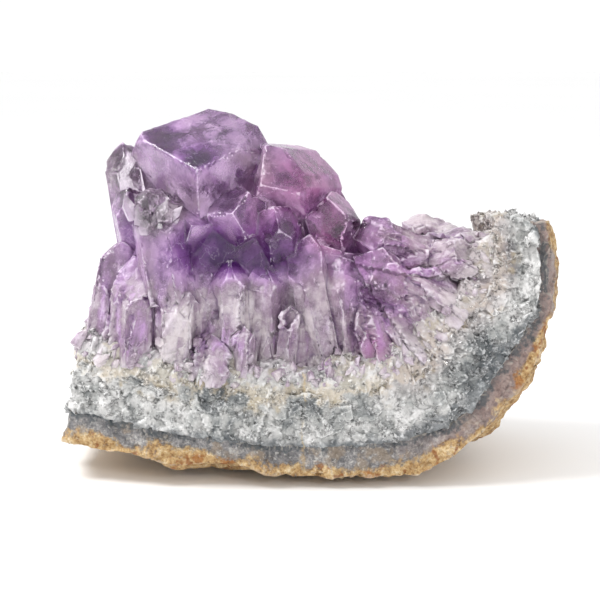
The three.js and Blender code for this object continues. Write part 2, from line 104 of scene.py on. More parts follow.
# Relief of the broken faces. Each row is a height and a size in mm, and a step of the seed. The
# crystals' rows are their columns, fibres, splits and crumbs, and the nicks in their edges.
ROCK_LUMPS = ((0.45, 3.2, 0), (0.3, 1.4, 1))
ROCK_CHIPS = ((0.3, 1.3, 2),)
ROCK_BREAKS = ((0.32, 2.4, 9), (0.16, 1.0, 20))
QUARTZ_CHIPS = ((0.75, 3.6, 0), (0.4, 1.6, 9))
QUARTZ_LUMPS = ((0.14, 0.6, 3),)
CRYSTAL_CHIPS = ((1.1, 4.0, 0), (0.3, 1.9, 9), (0.8, 5.0, 18), (0.12, 1.2, 27), (1.0, 2.4, 36))
FACE_LUMPS = ((0.05, 4.0, 1),)
NICK_DEPTH = 0.5
RIM_CHIPS = ((0.6, 2.6, 0), (0.25, 1.4, 9))

# How far rock and crystals are let into the grey quartz between them, in mm.
ROCK_JOINT = 0.55
CRYSTAL_JOINT = 0.5

# Sugar grains: least size and what is added to it at most, in mm, and the share sunk in.
GRAIN_SIZE = (0.35, 1.4)
GRAIN_SUNK = 0.2

# Small crystals: least width in mm and least length in widths, each with what is added to it at
# most; how much they lean out and at random; and the share of their length that is sunk in.
NEEDLE_WIDTH = (0.6, 1.3)
NEEDLE_LENGTH = (1.1, 1.4)
NEEDLE_OUT = 0.6
NEEDLE_SPREAD = 0.7
NEEDLE_SUNK = 0.45
NEEDLE_CARRIERS = (("granular_rim", 0.75), ("amethyst_mass", 0.25))

# The granular rim: stations along the wall, across it and round the profile; the profile's middle
# (out and up) and half sizes, and the height of its waves, in mm; how far along the wall it ends at
# the front and at the back; and how much it swells at the left end, in mm.
RIM_ALONG = 280
RIM_ACROSS = 110
RIM_ROUND = 34
RIM_MIDDLE = (-1.7, 1.0)
RIM_SIZE = (2.5, 2.6)
RIM_WAVE = 2.4
RIM_ENDS = (0.980, 0.940)
RIM_LEFT_LIFT = 3.0

# Soft patches on the front: middle x and z, half width and half height in mm, and strength.
VIOLET_SPOTS = (
    # The first row, the recess under the crown, is the crystals' own violet deepened with painted shade.
    (-13.0, 38.5, 8.5, 3.6, 0.90),
    (-6.5, 36.5, 3.5, 2.5, 0.25),
    (12.0, 37.0, 10.0, 8.0, 0.17),
    (19.5, 40.0, 5.0, 3.0, -0.22),
    (24.0, 35.0, 3.0, 4.0, -0.12),
    (-29.5, 41.5, 1.8, 4.0, 0.30),
    (-31.5, 51.0, 3.0, 3.0, -0.35),
    (-8.0, 51.5, 2.2, 3.5, -0.25),
    (-25.0, 45.0, 4.0, 3.5, -0.40),
    (9.0, 31.5, 3.6, 2.4, 0.42),
    (-18.2, 53.6, 2.8, 1.8, 0.55),
    (-24.0, 56.5, 3.0, 2.5, 0.32),
    (-19.0, 47.5, 3.5, 2.5, -0.10),
    (-12.0, 52.5, 2.5, 2.0, -0.15),
    (-2.5, 44.0, 2.6, 2.4, 0.40),
    (10.0, 23.5, 2.5, 2.5, 0.18),
    (-21.5, 34.0, 4.0, 4.0, 0.10),
    (-29.0, 30.0, 3.0, 7.0, 0.12),
    (-6.0, 27.0, 2.5, 7.0, 0.12),
    (7.5, 36.0, 2.5, 3.0, 0.12),
    (-21.0, 27.5, 3.2, 4.0, -0.12),
    (-12.0, 31.0, 2.2, 5.0, -0.12),
    (1.5, 31.0, 2.2, 9.0, -0.14),
    (-8.0, 30.0, 12.0, 3.5, -0.10),
)
CLEAR_SPOTS = (
    (-25.0, 44.0, 4.5, 3.5, -0.10),
    (-31.0, 50.0, 4.0, 4.0, 0.25),
    (9.0, 31.5, 4.0, 3.0, 0.30),
    # This row makes that recess opaque and dark: the crystals' own violet with painted shade.
    (-13.0, 38.5, 8.0, 3.5, -0.25),
    (-25.3, 45.5, 3.0, 3.0, 0.40),
    (5.5, 42.0, 4.0, 2.5, 0.25),
)
PINK_SPOTS = (
    (-1.0, 49.5, 6.5, 5.5, 1.00),
    (3.5, 40.5, 3.0, 1.8, 0.80),
    (10.0, 23.5, 2.5, 2.5, 0.50),
    (12.0, 36.0, 10.0, 8.0, 0.30),
    (4.0, 42.5, 4.0, 4.0, 0.60),
    (-9.0, 46.0, 2.5, 5.0, 0.35),
)
DARK_SPOTS = (
    (31.8, 38.2, 2.2, 2.4, 0.90),
    (33.4, 35.5, 1.5, 1.5, 0.70),
    (15.0, 36.5, 1.0, 1.0, 0.70),
    (-15.0, 17.0, 4.0, 3.0, 0.35),
    (27.0, 41.0, 5.0, 3.0, -0.35),
    (31.0, 30.0, 3.0, 3.0, -0.45),
    (35.2, 37.0, 1.8, 6.0, -0.35),
    (-36.0, 18.5, 6.0, 3.5, -0.40),
    (-15.0, 12.0, 25.0, 2.5, 0.15),
    (13.0, 14.5, 9.0, 4.0, -0.25),
    (27.9, 33.8, 1.1, 1.8, 0.70),
    (28.5, 21.0, 4.0, 5.0, 0.35),
)
RUST_SPOTS = (
    (-18.4, 4.6, 1.4, 1.3, 1.0),
    (-13.6, 4.2, 1.5, 1.2, 1.0),
    (-30.0, 8.4, 1.4, 1.0, 0.8),
    (9.5, 2.6, 1.6, 1.0, 0.8),
    (33.5, 17.5, 1.6, 2.0, 0.9),
)

# Clear broken plates under the crown's left edge: root x, y, z, then the way they point,
# then length and width, in mm.
SHARDS = (
    (-26.8, -21.0, 43.2, 0.10, -0.15, 1.00, 5.0, 2.6),
    (-24.9, -21.4, 42.6, 0.45, -0.20, 0.90, 5.2, 2.0),
    (-28.2, -20.6, 44.0, -0.35, -0.20, 0.90, 4.4, 2.2),
    (-23.2, -21.2, 43.4, 0.80, -0.10, 0.70, 4.0, 1.5),
    (-26.0, -21.8, 42.0, -0.15, -0.30, 1.00, 3.2, 2.2),
    (-24.2, -21.6, 41.8, 0.20, -0.35, 0.90, 2.8, 1.8),
    (-22.6, -20.8, 42.4, 0.60, -0.30, 0.60, 2.6, 1.4),
)

ROCK_SEED = 11
QUARTZ_SEED = 23
CRYSTAL_SEED = 37
POINT_SEED = 41
SHARD_SEED = 53
RIM_SEED = 67

# Each lamp: name, place and width in mm, and share of the studio light's power.
LAMPS = (
    ("overhead_light", (-260.0, -70.0, 380.0), 200.0, 1.0),
    ("front_fill", (200.0, -420.0, 240.0), 80.0, 0.25),
)
LAMP_AIM = (0.0, 0.0, 25.0)
SKY_STRENGTH = 1.05
FLOOR_REACH = 4000.0


def curve_through(stations, samples):
    """A smooth line through the stations: on each stretch the cubic whose slope at a station is
    half the step between its two neighbours. Returns samples rows."""
    ends = np.vstack([2 * stations[0] - stations[1], stations, 2 * stations[-1] - stations[-2]])
    place = np.linspace(0, len(stations) - 1 - 1e-9, samples)
    first = place.astype(int)
    f = (place - first)[:, None]
    a, b, c, d = ends[first], ends[first + 1], ends[first + 2], ends[first + 3]
    square = (2 * a - 5 * b + 4 * c - d) * f ** 2
    return 0.5 * (2 * b + (c - a) * f + square + (3 * b - a - 3 * c + d) * f ** 3)


def wall_line():
    """The line between rock and quartz: its samples, with the same columns as WALL, the way along
    it at each of them as a unit vector in x and z, and the length of the step there."""
    line = curve_through(WALL, WALL_SAMPLES)
    step = np.gradient(line[:, :2], axis=0)
    length = np.linalg.norm(step, axis=1)
    return line, step / length[:, None], length


def arch(share):
    """The parabola that is 0 at share 0 and 1, and 1 halfway."""
    return 1 - (2 * share - 1) ** 2


def wall_place(points):
    """For points in mm, arrays of: the length along the wall to the nearest place on the line
    between rock and quartz; the distance inwards from that line (less than 0 in the rock); the
    thickness there of the rock and of the grey quartz; and the way inwards. The line is the curve
    through WALL, pushed out by a parabola over the depth of the piece."""
    line, way, length = wall_line()
    travelled = np.cumsum(length)
    inwards = np.column_stack([-way[:, 1], way[:, 0]])
    flat = points[:, [0, 2]]
    nearest = np.empty(len(points), int)
    for start in range(0, len(points), NEAREST_BLOCK):
        part = flat[start:start + NEAREST_BLOCK]
        gap = ((part[:, None, :] - line[None, :, :2]) ** 2).sum(axis=2)
        nearest[start:start + NEAREST_BLOCK] = gap.argmin(axis=1)
    offset = flat - line[nearest, :2]
    across = np.clip((points[:, 1] - FRONT_Y) / (BACK_Y - FRONT_Y), 0, 1)
    depth = (offset * inwards[nearest]).sum(axis=1) + WALL_BULGE * arch(across)
    along = travelled[nearest] + (offset * way[nearest]).sum(axis=1)
    ways = np.column_stack([inwards[nearest, 0], np.zeros(len(points)), inwards[nearest, 1]])
    return along, depth, line[nearest, 2], line[nearest, 3], ways


def wall_surface(u, v, rise):
    """Points in mm on the wall, for arrays u from its left end to its right end, v from front to
    back and rise above the grey quartz: the line between rock and quartz, plus the way inwards
    times the quartz's thickness and the rise, less the bulge. Also returns the way along the wall."""
    line, way, _ = wall_line()
    here = np.clip(u, 0, 1) * (WALL_SAMPLES - 1)
    columns = [np.interp(here, np.arange(WALL_SAMPLES), column) for column in (*line.T, *way.T)]
    x, z, _, bed, front, back, go_x, go_z = columns
    reach = bed + rise - WALL_BULGE * arch(v)
    points = np.column_stack([x - go_z * reach, front + (back - front) * v, z + go_x * reach])
    return points, np.column_stack([go_x, np.zeros(len(u)), go_z])


def unit(rows):
    """Each row made 1 long."""
    return rows / np.linalg.norm(rows, axis=1, keepdims=True)


def smooth_step(values, low, high):
    """0 below low, 1 above high, and the cubic 3f^2 - 2f^3 between."""
    f = np.clip((values - low) / (high - low), 0, 1)
    return f * f * (3 - 2 * f)


def corner_random(cells, salt):
    """A repeatable number from 0 to 1 for each whole-number cell, by mixing its three indices."""
    mixed = cells[..., 0] * 374761393 + cells[..., 1] * 668265263
    mixed = mixed + cells[..., 2] * 2147483629 + salt * 974634777
    mixed = (mixed ^ (mixed >> 13)) * 1274126177
    mixed = mixed ^ (mixed >> 16)
    return (mixed & 0xFFFFFF) / 0xFFFFFF


def lumps(points, size, salt):
    """Smooth lumps from -1 to 1: random corner values blended across cells of that size."""
    scaled = points / size
    cells = np.floor(scaled).astype(np.int64)
    f = scaled - cells
    f = f * f * (3 - 2 * f)
    total = np.zeros(len(points))
    for corner in np.ndindex(2, 2, 2):
        step = np.array(corner)
        weight = np.where(step, f, 1 - f).prod(axis=1)
        total += weight * corner_random(cells + step, salt)
    return 2 * total - 1


def chips(points, size, salt):
    """Broken facets from about -1 to 1: each point takes the flat, tilted face of the nearest of a
    jittered set of seed points, one in each cell of that size."""
    scaled = points / size
    cells = np.floor(scaled).astype(np.int64)
    best = np.full(len(points), np.inf)
    height = np.zeros(len(points))
    for step in np.ndindex(3, 3, 3):
        cell = cells + np.array(step) - 1
        seed = cell + np.stack([corner_random(cell, salt + k) for k in range(3)], axis=1)
        arm = scaled - seed
        gap = (arm ** 2).sum(axis=1)
        tilt = np.stack([corner_random(cell, salt + 3 + k) for k in range(3)], axis=1) * 2 - 1
        face = (arm * tilt).sum(axis=1) + 0.7 * (corner_random(cell, salt + 6) - 0.5)
        nearer = gap < best
        best = np.where(nearer, gap, best)
        height = np.where(nearer, face, height)
    return height


def relief(kind, points, rows, seed):
    """Adds up lumps or chips in mm, one for each row of height, size and step of the seed."""
    return sum(height * kind(points, size, seed + step) for height, size, step in rows)


def mesh_arrays(mesh):
    """The mesh's points in mm and their normals, as arrays."""
    points = np.empty(len(mesh.vertices) * 3)
    mesh.vertices.foreach_get("co", points)
    normals = np.empty(len(mesh.vertices) * 3)
    mesh.vertices.foreach_get("normal", normals)
    return points.reshape(-1, 3) / MM, normals.reshape(-1, 3)


def ridge_share(mesh):
    """For each point, how far it stands out from its neighbours: the mean over its edges of the
    cosine between its normal and the way to it from the edge's other end. Above 0 on ridges."""
    points, normals = mesh_arrays(mesh)
    ends = np.empty(len(mesh.edges) * 2, int)
    mesh.edges.foreach_get("vertices", ends)
    a, b = ends.reshape(-1, 2).T
    way = points[a] - points[b]
    way /= np.linalg.norm(way, axis=1, keepdims=True) + 1e-9
    total = np.bincount(a, (way * normals[a]).sum(axis=1), len(points))
    total -= np.bincount(b, (way * normals[b]).sum(axis=1), len(points))
    return total / np.maximum(np.bincount(ends, minlength=len(points)), 1)


def finer_copy(node, name, edge_size, finest):
    """A new object whose mesh is the node's, merged, with every edge halved until none is longer
    than edge_size gives for its middle, in mm, or MOST_HALVINGS rounds are done."""
    mesh = bpy.data.meshes.new(name)
    work = bmesh.new()
    work.from_mesh(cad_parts[node].data)
    bmesh.ops.remove_doubles(work, verts=work.verts, dist=1e-6)
    for _ in range(MOST_HALVINGS):
        work.edges.ensure_lookup_table()
        ends = np.array([(*e.verts[0].co, *e.verts[1].co) for e in work.edges]) / MM
        length = np.linalg.norm(ends[:, 3:] - ends[:, :3], axis=1)
        chosen = np.nonzero(length > edge_size((ends[:, 3:] + ends[:, :3]) / 2, finest))[0]
        if not len(chosen):
            break
        bmesh.ops.subdivide_edges(work, edges=[work.edges[k] for k in chosen], cuts=1)
        bmesh.ops.triangulate(work, faces=[face for face in work.faces if len(face.verts) > 3])
    work.to_mesh(mesh)
    work.free()
    piece = bpy.data.objects.new(name, mesh)
    bpy.context.collection.objects.link(piece)
    return piece


def soften(piece, angle):
    """Shades the mesh smooth, except across edges sharper than angle, in degrees."""
    piece.data.polygons.foreach_set("use_smooth", np.ones(len(piece.data.polygons), bool))
    piece.data.set_sharp_from_angle(angle=np.radians(angle))


def push_points(piece, points, shift):
    """Moves each point by its shift (mm), and keeps all of it in the model's box."""
    moved = clip_to_box(points + shift) * MM
    piece.data.vertices.foreach_set("co", moved.ravel())
    piece.data.update()


def store(piece, **shares):
    """Keeps each share as one number for each point of the mesh, for its material to read."""
    for name, values in shares.items():
        layer = piece.data.attributes.new(name, "FLOAT", "POINT")
        layer.data.foreach_set("value", np.asarray(values, dtype=np.float32))


def new_piece(name, points, faces):
    """A mesh object from an array of points in mm and a list of faces. It is linked to the scene."""
    mesh = bpy.data.meshes.new(name)
    mesh.from_pydata((points * MM).tolist(), [], faces)
    mesh.update()
    piece = bpy.data.objects.new(name, mesh)
    bpy.context.collection.objects.link(piece)
    return piece


def surface_spots(piece, count, random, is_here):
    """Random places on the mesh, spread by area over the triangles whose middle and normal (in mm)
    pass is_here. Returns the places and the normals there."""
    points, _ = mesh_arrays(piece.data)
    piece.data.calc_loop_triangles()
    corners = np.empty(len(piece.data.loop_triangles) * 3, int)
    piece.data.loop_triangles.foreach_get("vertices", corners)
    triangles = points[corners.reshape(-1, 3)]
    cross = np.cross(triangles[:, 1] - triangles[:, 0], triangles[:, 2] - triangles[:, 0])
    area = np.linalg.norm(cross, axis=1) + 1e-12
    normals = cross / area[:, None]
    share = area * is_here(triangles.mean(axis=1), normals)
    chosen = random.choice(len(triangles), count, p=share / share.sum())
    a, b = random.random((2, count))
    flip = a + b > 1
    a, b = np.where(flip, 1 - a, a), np.where(flip, 1 - b, b)
    first, second, third = (triangles[chosen, k] for k in range(3))
    spots = first + a[:, None] * (second - first) + b[:, None] * (third - first)
    return spots, normals[chosen]


def crystal_arrays(roots, axes, lengths, widths, random):
    """Many small quartz points as whole arrays. Each is two rings of six corners with uneven radius,
    then a tip pushed a little off the axis: 13 points and 13 faces."""
    count = len(roots)
    axes = unit(axes)
    helper = np.where(np.abs(axes[:, 2:3]) > 0.9, [[1.0, 0.0, 0.0]], [[0.0, 0.0, 1.0]])
    first = unit(np.cross(axes, helper))
    second = np.cross(axes, first)
    turn = random.random((count, 1)) * np.pi / 3 + np.arange(6) * np.pi / 3
    radius = widths[:, None] / 2 * (0.8 + 0.4 * random.random((count, 6)))
    ring = (np.cos(turn) * radius)[..., None] * first[:, None]
    ring = ring + (np.sin(turn) * radius)[..., None] * second[:, None]
    cap = np.minimum(widths * 0.9, lengths * 0.7)
    shoulder = (lengths - cap)[:, None] + widths[:, None] * 0.25 * (random.random((count, 6)) - 0.5)
    low = roots[:, None] + ring
    high = roots[:, None] + ring * 0.96 + axes[:, None] * shoulder[..., None]
    off = (random.random((count, 2)) - 0.5) * widths[:, None] * 0.35
    tip = roots + axes * lengths[:, None] + first * off[:, :1] + second * off[:, 1:]
    points = np.concatenate([low, high, tip[:, None]], axis=1)
    side = [(k, (k + 1) % 6, 6 + (k + 1) % 6, 6 + k) for k in range(6)]
    pyramid = [(6 + k, 6 + (k + 1) % 6, 12) for k in range(6)]
    pattern = [tuple(reversed(range(6)))] + side + pyramid
    faces = [tuple(corner + 13 * k for corner in face) for k in range(count) for face in pattern]
    return points.reshape(-1, 3), faces


def grain_arrays(centres, sizes, random):
    """Many blocky grains as whole arrays. Each is an eight-sided double pyramid, six corners on the
    axes at uneven reach, turned at random: 6 points, 8 faces."""
    count = len(centres)
    reach = sizes[:, None] * (0.35 + 0.4 * random.random((count, 6)))
    spokes = np.array([(1, 0, 0), (0, 1, 0), (-1, 0, 0), (0, -1, 0), (0, 0, 1), (0, 0, -1)], float)
    w, x, y, z = unit(random.normal(size=(count, 4))).T
    turn = np.stack([
        1 - 2 * (y * y + z * z), 2 * (x * y - z * w), 2 * (x * z + y * w),
        2 * (x * y + z * w), 1 - 2 * (x * x + z * z), 2 * (y * z - x * w),
        2 * (x * z - y * w), 2 * (y * z + x * w), 1 - 2 * (x * x + y * y),
    ], axis=1).reshape(-1, 3, 3)
    points = centres[:, None] + np.einsum("nij,nkj->nki", turn, spokes[None] * reach[..., None])
    pattern = [(k, (k + 1) % 4, 4) for k in range(4)] + [((k + 1) % 4, k, 5) for k in range(4)]
    faces = [tuple(corner + 6 * k for corner in face) for k in range(count) for face in pattern]
    return points.reshape(-1, 3), faces


class Signal:
    """A node socket in a formula: +, - and * each add a Math node."""

    def __init__(self, finish, socket):
        self.finish = finish
        self.socket = socket

    def _with(self, operation, first, second):
        return self.finish.node("ShaderNodeMath", {"operation": operation}, {0: first, 1: second})

    def __add__(self, other):
        return self._with("ADD", self, other)

    def __mul__(self, other):
        return self._with("MULTIPLY", self, other)

    def __sub__(self, other):
        return self._with("SUBTRACT", self, other)

    def __rsub__(self, other):
        return self._with("SUBTRACT", other, self)

    __radd__ = __add__
    __rmul__ = __mul__


class Finish:
    """One material, built from nodes."""

    def __init__(self, name):
        self.material = bpy.data.materials.new(name)
        self.material.use_nodes = True
        self.tree = self.material.node_tree
        self.tree.nodes.clear()
        self.output = self.tree.nodes.new("ShaderNodeOutputMaterial")
        self.place = self.node("ShaderNodeTexCoord", {}, {}, "Object")
        self.x_mm = self.node("ShaderNodeSeparateXYZ", {}, {0: self.place}, "X") * (1 / MM)
        self.y = self.node("ShaderNodeSeparateXYZ", {}, {0: self.place}, "Y")

    def node(self, kind, settings, values, result=0):
        """Adds a node: its settings first, then a value or link for each named socket."""
        node = self.tree.nodes.new(kind)
        for key, value in settings.items():
            if key == "stops":
                while len(node.color_ramp.elements) < len(value):
                    node.color_ramp.elements.new(1.0)
                for element, (position, colour) in zip(node.color_ramp.elements, value):
                    element.position = position
                    element.color = (*colour, 1.0)
            else:
                setattr(node, key, value)
        for key, value in values.items():
            if isinstance(value, Signal):
                self.tree.links.new(value.socket, node.inputs[key])
            elif value is not None:
                node.inputs[key].default_value = value
        return Signal(self, node.outputs[result])

    def kept(self, name):
        """A number stored on the mesh."""
        return self.node("ShaderNodeAttribute", {"attribute_name": name}, {}, "Fac")

    def grown_place(self, rise, share):
        """A place in which noise is drawn out along the crystals: the length along the wall, the
        depth of the piece, and a share of the rise, so that less share means longer blobs."""
        return self.node("ShaderNodeCombineXYZ", {}, {
            "X": self.kept("along") * MM, "Y": self.y, "Z": rise * (share * MM)})

    def cloud(self, size, detail=3.0, contrast=0.5, place=None):
        """Soft noise from 0 to 1 with blobs of about that size in mm."""
        return self.node("ShaderNodeTexNoise", {}, {
            "Vector": place or self.place, "Scale": 1 / (size * MM), "Detail": detail,
            "Roughness": contrast}, "Fac")

    def cells(self, size, result="Distance", place=None):
        """Random cells of about that size in mm."""
        return self.node("ShaderNodeTexVoronoi", {}, {
            "Vector": place or self.place, "Scale": 1 / (size * MM),
        }, result)

    def facets(self, size, place=None):
        """Broken facets: in each random cell of about that size in mm, a plane with its own tilt."""
        place = place or self.place
        middle = self.cells(size, result="Position", place=place)
        tilt = Signal(self, middle.socket.node.outputs["Color"])
        arm = self.node("ShaderNodeVectorMath", {"operation": "SUBTRACT"}, {0: place, 1: middle})
        lean = self.node("ShaderNodeVectorMath", {"operation": "SUBTRACT"}, {0: tilt, 1: (0.5, 0.5, 0.5)})
        height = self.node("ShaderNodeVectorMath", {"operation": "DOT_PRODUCT"}, {0: arm, 1: lean}, "Value")
        return height * (2 / (size * MM))

    def crack(self):
        """1 in the thin stained crack that crosses the front, 0 beside it."""
        wander = (self.cloud(5.0, 6.0, 0.7) - 0.5) * 4.5
        gap = self.node("ShaderNodeMath", {"operation": "ABSOLUTE"}, {0: self.x_mm - CRACK_X + wander})
        return (1 - self.between(gap, 0.05, 0.30)) * self.between(self.cloud(3.0), 0.42, 0.56)

    def vein(self, size, width):
        """1 on thin broken threads, where soft noise of that size in mm crosses its middle value."""
        level = self.cloud(size, 4.0, 0.6) - 0.5
        gap = self.node("ShaderNodeMath", {"operation": "ABSOLUTE"}, {0: level})
        return (1 - self.between(gap, 0.0, width)) * self.between(self.cloud(size), 0.45, 0.60)

    def between(self, value, low, high):
        """0 where value is low, 1 where it is high, smooth between."""
        return self.node("ShaderNodeMapRange", {"interpolation_type": "SMOOTHSTEP"}, {
            "Value": value, "From Min": low, "From Max": high,
        })

    def ramp(self, value, stops):
        """The colour at value on a line of stops, each a place and a colour."""
        return self.node("ShaderNodeValToRGB", {"stops": stops}, {"Fac": value}, "Color")

    def blend(self, share, first, second):
        """Two colours mixed by share."""
        first = first if isinstance(first, Signal) else (*first, 1.0)
        second = second if isinstance(second, Signal) else (*second, 1.0)
        return self.node("ShaderNodeMix", {"data_type": "RGBA"}, {0: share, 6: first, 7: second}, 2)

    def mix(self, share, first, second):
        """Two shaders mixed by share."""
        return self.node("ShaderNodeMixShader", {}, {0: share, 1: first, 2: second})

    def bump(self, height, depth, normal=None):
        """A normal bent by height, depth mm high."""
        return self.node("ShaderNodeBump", {}, {
            "Height": height, "Distance": depth * MM, "Strength": 1.0, "Normal": normal,
        }, "Normal")

    def surface(self, **values):
        """The main shader. Keyword names are the socket names with _ for spaces."""
        named = {key.replace("_", " "): value for key, value in values.items()}
        return self.node("ShaderNodeBsdfPrincipled", {}, named)

    def finish_with(self, shader, volume=None):
        """Links the shader and the volume to the output. Returns the material."""
        self.tree.links.new(shader.socket, self.output.inputs["Surface"])
        if volume:
            self.tree.links.new(volume.socket, self.output.inputs["Volume"])
        return self.material


def rock_finish():
    """Grey, faintly violet chalcedony where it is broken, ochre and rust on the weathered skin."""
    f = Finish("weathered_rock")
    skin, depth, ridge, stain = (f.kept(name) for name in ("skin", "depth", "ridge", "rust"))
    patch = f.cloud(5.0, 3.0)
    fine = f.cloud(0.9, 5.0, 0.65)
    grit = f.cloud(0.35, 3.0)
    warm = f.between(f.x_mm + (patch - 0.5) * 30, 10.0, 34.0)
    worn_left = 1 - f.between(f.x_mm, -12.0, 0.0)
    uneven = (patch - 0.5) * 1.3 + (fine - 0.5) * 0.9
    weather = f.between(skin + uneven + warm * 0.1 + worn_left * 0.14, 0.52, 0.82)
    grey = f.ramp(f.cloud(2.4, 7.0, 0.75) * 0.75 + grit * 0.25, [
        (0.36, (0.06, 0.06, 0.06)), (0.47, (0.15, 0.145, 0.15)), (0.54, (0.25, 0.24, 0.24)),
        (0.64, (0.52, 0.50, 0.47))])
    grey = f.blend(f.between(f.cloud(3.0, 4.0), 0.52, 0.62) * 0.5, grey, (0.30, 0.22, 0.14))
    speck = f.between(f.cloud(0.8, 4.0, 0.7), 0.56, 0.66)
    grey = f.blend(speck * 0.5, grey, (0.62, 0.60, 0.56))
    grey = f.blend(warm * 0.8, grey, f.ramp(fine, [
        (0.3, (0.15, 0.09, 0.08)), (0.55, (0.34, 0.23, 0.20)), (0.8, (0.58, 0.46, 0.40))]))
    ochre = f.ramp(f.cloud(1.5, 6.0, 0.75) * 0.8 + grit * 0.2, [
        (0.36, (0.13, 0.07, 0.03)), (0.44, (0.36, 0.21, 0.085)), (0.53, (0.56, 0.38, 0.18)),
        (0.64, (0.76, 0.63, 0.42))])
    rust = f.between(f.cloud(2.4, 2.0), 0.58, 0.66)
    ochre = f.blend(rust * 0.8, ochre, (0.26, 0.085, 0.02))
    ochre = f.blend(f.between(stain + (fine - 0.5) * 1.6, 0.40, 0.80) * 0.8, ochre, (0.34, 0.13, 0.03))
    colour = f.blend(weather, grey, ochre)
    line = f.between(depth + (fine - 0.5) * 3.0 + (patch - 0.5) * 3.0, -0.8, -0.1)
    line = line * (0.5 + 0.5 * f.between(f.cloud(1.6, 5.0, 0.7), 0.42, 0.55))
    colour = f.blend(line * (1 - f.between(skin, 0.6, 0.9)) * 0.85, colour, (0.035, 0.05, 0.06))
    colour = f.blend(f.crack() * 0.6, colour, (0.42, 0.30, 0.16))
    # Lighter on the ridges: a painted highlight.
    colour = f.blend(f.between(ridge, 0.05, 0.35) * 0.35, colour, (0.60, 0.54, 0.46))
    relief = f.bump(fine * 0.6 + grit * 0.4 + f.cells(0.7) * weather * 0.4, 0.5)
    return f.finish_with(f.surface(
        Base_Color=colour, Roughness=0.40 + 0.45 * weather, Normal=f.bump(f.facets(1.3), 0.5, relief)))


def quartz_colour(f):
    """Colours of the grey quartz: dark towards the rock, white and grey patches, stained near the
    crystals."""
    depth, share, shade, band = (f.kept(name) for name in ("depth", "share", "dark", "band"))
    wobble = f.cloud(2.5, 4.0, 0.6) - 0.5
    broad = f.cloud(5.0, 3.0)
    mottle = f.cloud(2.0, 7.0, 0.72)
    streak = f.cloud(1.6, 5.0, 0.65, f.grown_place(depth, 0.4))
    level = broad * 0.7 + mottle * 0.4 + streak * 0.35 + f.facets(2.4) * 0.05 - 0.15 - shade * 0.3
    colour = f.ramp(level, [
        (0.30, (0.04, 0.05, 0.055)), (0.41, (0.14, 0.15, 0.155)), (0.49, (0.29, 0.30, 0.295)),
        (0.57, (0.44, 0.44, 0.43)), (0.72, (0.70, 0.69, 0.68))])
    stain = share + wobble * 0.7 + (broad - 0.5) * 0.9
    tan = f.between(stain, 0.78, 0.98) * (1 - f.between(stain, 1.05, 1.25))
    colour = f.blend(tan * 0.42, colour, (0.60, 0.47, 0.29))
    colour = f.blend(f.between(share, 1.1, 1.5) * 0.5, colour, (0.47, 0.41, 0.45))
    inner = f.between(share + wobble * 0.5, 0.5, 0.95) * f.between(f.x_mm, 8.0, 18.0)
    colour = f.blend(inner * 0.5, colour, (0.50, 0.42, 0.42))
    olive = f.between(broad + wobble * 0.4, 0.55, 0.66) * f.between(share, 0.45, 0.8)
    colour = f.blend(olive * 0.5, colour, (0.25, 0.20, 0.10))
    dark = 1 - f.between(depth + wobble * 3.4 + (broad - 0.5) * 3.0 - band, -0.8, 1.0)
    colour = f.blend(dark * 0.75, colour, f.ramp(mottle, [
        (0.4, (0.032, 0.042, 0.05)), (0.56, (0.11, 0.125, 0.14)), (0.68, (0.44, 0.46, 0.47))]))
    return f.blend(f.crack() * 0.6, colour, (0.52, 0.40, 0.22))


def quartz_finish():
    """Sugary grey-white quartz, darker in its hollows with painted shade, and frosted white on its broken
    edges, with a painted highlight.
    """
    f = Finish("sugary_quartz")
    depth, ridge = f.kept("depth"), f.kept("ridge")
    grit = f.cloud(0.5, 4.0, 0.7)
    colour = quartz_colour(f)
    # Whiter on the broken edges: frosting, with a painted highlight.
    frost_and_highlight = f.between(ridge + (grit - 0.5) * 0.9, 0.08, 0.40) * f.between(depth, 0.4, 1.6)
    colour = f.blend(frost_and_highlight * 0.5, colour, (0.80, 0.80, 0.80))
    # Darker in the hollows: painted shade.
    colour = f.blend(f.between(0 - ridge, 0.05, 0.4) * 0.45, colour, (0.10, 0.11, 0.115))
    relief = f.bump(f.cells(0.45) * 0.4 + grit * 0.5, 0.2)
    relief = f.bump(f.facets(1.4), 0.3, relief)
    return f.finish_with(f.surface(
        Base_Color=colour, Roughness=0.12 + 0.4 * grit, Normal=relief, Subsurface_Weight=0.4,
        Subsurface_Radius=(1.0, 1.0, 1.0), Subsurface_Scale=0.001))


def sugar_finish():
    """Small grains of the grey quartz: half clear, half frosted."""
    f = Finish("sugar_grains")
    colour = f.blend(0.30, quartz_colour(f), (0.78, 0.78, 0.78))
    grit = f.cloud(0.5, 4.0, 0.7)
    frosted = f.surface(Base_Color=colour, Roughness=0.15 + 0.4 * grit)
    glassy = f.surface(
        Base_Color=f.blend(0.6, colour, (0.97, 0.97, 0.97)), Roughness=0.04 + 0.1 * grit,
        Transmission_Weight=1.0, IOR=QUARTZ_IOR)
    return f.finish_with(f.mix(f.between(grit, 0.4, 0.6), frosted, glassy))


